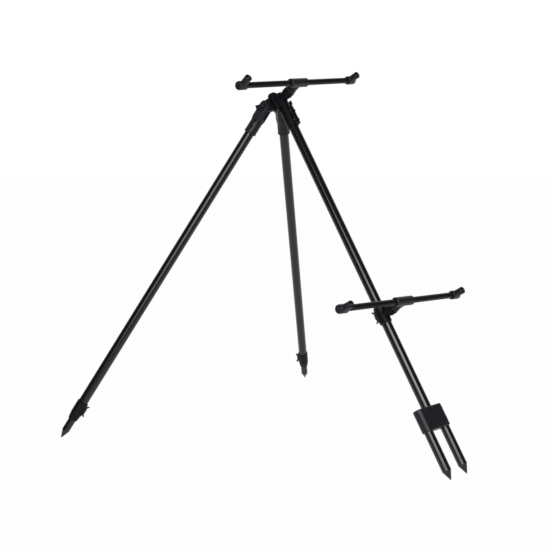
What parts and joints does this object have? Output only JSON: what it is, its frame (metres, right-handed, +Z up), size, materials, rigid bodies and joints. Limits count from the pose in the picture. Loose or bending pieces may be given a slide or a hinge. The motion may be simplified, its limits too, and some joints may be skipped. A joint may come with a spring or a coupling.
{
  "type": "rod pod",
  "caption": "Folding tripod rod pod with a spiked main leg, telescopic front legs and swivelling front and rear buzz bars with threaded rest sockets.",
  "frame": {"origin": "on the ground, under the middle of the footprint that the three feet span", "axes": "+Z up; the main leg lies in the XZ plane and runs down towards +X, the two front legs stand towards -X, and the bars lie across along Y"},
  "size_m": [0.7521, 0.7532, 0.7653],
  "materials": {
    "moulded_plastic": "satin black moulding",
    "anodised_tube": "gloss black anodised",
    "arm_tube": "satin black",
    "ground_point": "satin black anodised",
    "dark_steel": "blackened steel",
    "thread_bush": "dark anodised"
  },
  "bodies": {
    "main_frame": {"hub_body": "moulded_plastic", "hub_clamp_screws": "dark_steel", "main_tube": "anodised_tube", "spike_block": "moulded_plastic", "block_screws": "dark_steel", "left_fork_spike": "ground_point", "right_fork_spike": "ground_point", "left_pivot_bolt": "dark_steel", "right_pivot_bolt": "dark_steel"},
    "left_leg": {"left_socket": "moulded_plastic", "left_socket_screws": "dark_steel", "left_outer_tube": "anodised_tube", "left_clamp": "moulded_plastic"},
    "left_inner_leg": {"left_inner_tube": "anodised_tube", "left_guide": "moulded_plastic", "left_tip": "ground_point"},
    "left_pivot_nut": {"left_pivot_wing": "moulded_plastic"},
    "left_clamp_screw": {"left_clamp_wing": "moulded_plastic"},
    "right_leg": {"right_socket": "moulded_plastic", "right_socket_screws": "dark_steel", "right_outer_tube": "anodised_tube", "right_clamp": "moulded_plastic"},
    "right_inner_leg": {"right_inner_tube": "anodised_tube", "right_guide": "moulded_plastic", "right_tip": "ground_point"},
    "right_pivot_nut": {"right_pivot_wing": "moulded_plastic"},
    "right_clamp_screw": {"right_clamp_wing": "moulded_plastic"},
    "front_bar": {"front_stem": "dark_steel", "front_tee": "moulded_plastic", "front_left_arm": "arm_tube", "front_left_end": "moulded_plastic", "front_left_bush": "thread_bush", "front_left_cap": "moulded_plastic", "front_right_arm": "arm_tube", "front_right_end": "moulded_plastic", "front_right_bush": "thread_bush", "front_right_cap": "moulded_plastic"},
    "front_ring": {"front_lock_ring": "anodised_tube"},
    "rear_bar": {"rear_stem": "dark_steel", "rear_tee": "moulded_plastic", "rear_left_arm": "arm_tube", "rear_left_end": "moulded_plastic", "rear_left_bush": "thread_bush", "rear_left_cap": "moulded_plastic", "rear_right_arm": "arm_tube", "rear_right_end": "moulded_plastic", "rear_right_bush": "thread_bush", "rear_right_cap": "moulded_plastic"},
    "rear_ring": {"rear_lock_ring": "anodised_tube"},
    "rear_slider": {"rear_slider": "moulded_plastic"},
    "rear_slider_screw": {"rear_slider_wing": "moulded_plastic"}
  },
  "joints": [
    {"name": "left_leg_fold", "type": "hinge", "parent": "main_frame", "child": "left_leg", "pos_m": [-0.11059, -0.02409, 0.68875], "axis": [0.4225, -0.8625, 0.2786], "range_deg": [0, 58.3]},
    {"name": "left_leg_extend", "type": "slide", "parent": "left_leg", "child": "left_inner_leg", "axis": [-0.3234, -0.4305, -0.8427], "range_m": [0, 0.4]},
    {"name": "left_pivot_nut_turn", "type": "hinge", "parent": "main_frame", "child": "left_pivot_nut", "pos_m": [-0.11059, -0.02409, 0.68875], "axis": [0.4225, -0.8625, 0.2786], "continuous": true},
    {"name": "left_clamp_screw_turn", "type": "hinge", "parent": "left_leg", "child": "left_clamp_screw", "pos_m": [-0.35084, -0.34396, 0.06271], "axis": [0.6391, 0.5573, -0.53], "continuous": true},
    {"name": "right_leg_fold", "type": "hinge", "parent": "main_frame", "child": "right_leg", "pos_m": [-0.11059, 0.02409, 0.68875], "axis": [-0.4225, -0.8625, -0.2786], "range_deg": [0, 58.3]},
    {"name": "right_leg_extend", "type": "slide", "parent": "right_leg", "child": "right_inner_leg", "axis": [-0.3234, 0.4305, -0.8427], "range_m": [0, 0.4]},
    {"name": "right_pivot_nut_turn", "type": "hinge", "parent": "main_frame", "child": "right_pivot_nut", "pos_m": [-0.11059, 0.02409, 0.68875], "axis": [0.4225, 0.8625, 0.2786], "continuous": true},
    {"name": "right_clamp_screw_turn", "type": "hinge", "parent": "right_leg", "child": "right_clamp_screw", "pos_m": [-0.35084, 0.34396, 0.06271], "axis": [-0.7303, -0.6798, -0.0671], "continuous": true},
    {"name": "front_bar_swivel", "type": "hinge", "parent": "main_frame", "child": "front_bar", "pos_m": [-0.08972, 0, 0.70514], "axis": [0.8348, 0, 0.5505], "range_deg": [-85, 85]},
    {"name": "front_ring_turn", "type": "hinge", "parent": "front_bar", "child": "front_ring", "pos_m": [-0.08972, 0, 0.70514], "axis": [0.8348, 0, 0.5505], "continuous": true},
    {"name": "rear_slider_slide", "type": "slide", "parent": "main_frame", "child": "rear_slider", "axis": [-0.5505, 0, 0.8348], "range_m": [-0.15, 0.1]},
    {"name": "rear_slider_screw_turn", "type": "hinge", "parent": "rear_slider", "child": "rear_slider_screw", "pos_m": [0.18805, 0, 0.28388], "axis": [-0.5366, -0.766, -0.3538], "continuous": true},
    {"name": "rear_bar_swivel", "type": "hinge", "parent": "rear_slider", "child": "rear_bar", "pos_m": [0.18805, 0, 0.28388], "axis": [0.8348, 0, 0.5505], "range_deg": [-85, 85]},
    {"name": "rear_ring_turn", "type": "hinge", "parent": "rear_bar", "child": "rear_ring", "pos_m": [0.18805, 0, 0.28388], "axis": [0.8348, 0, 0.5505], "continuous": true}
  ]
}
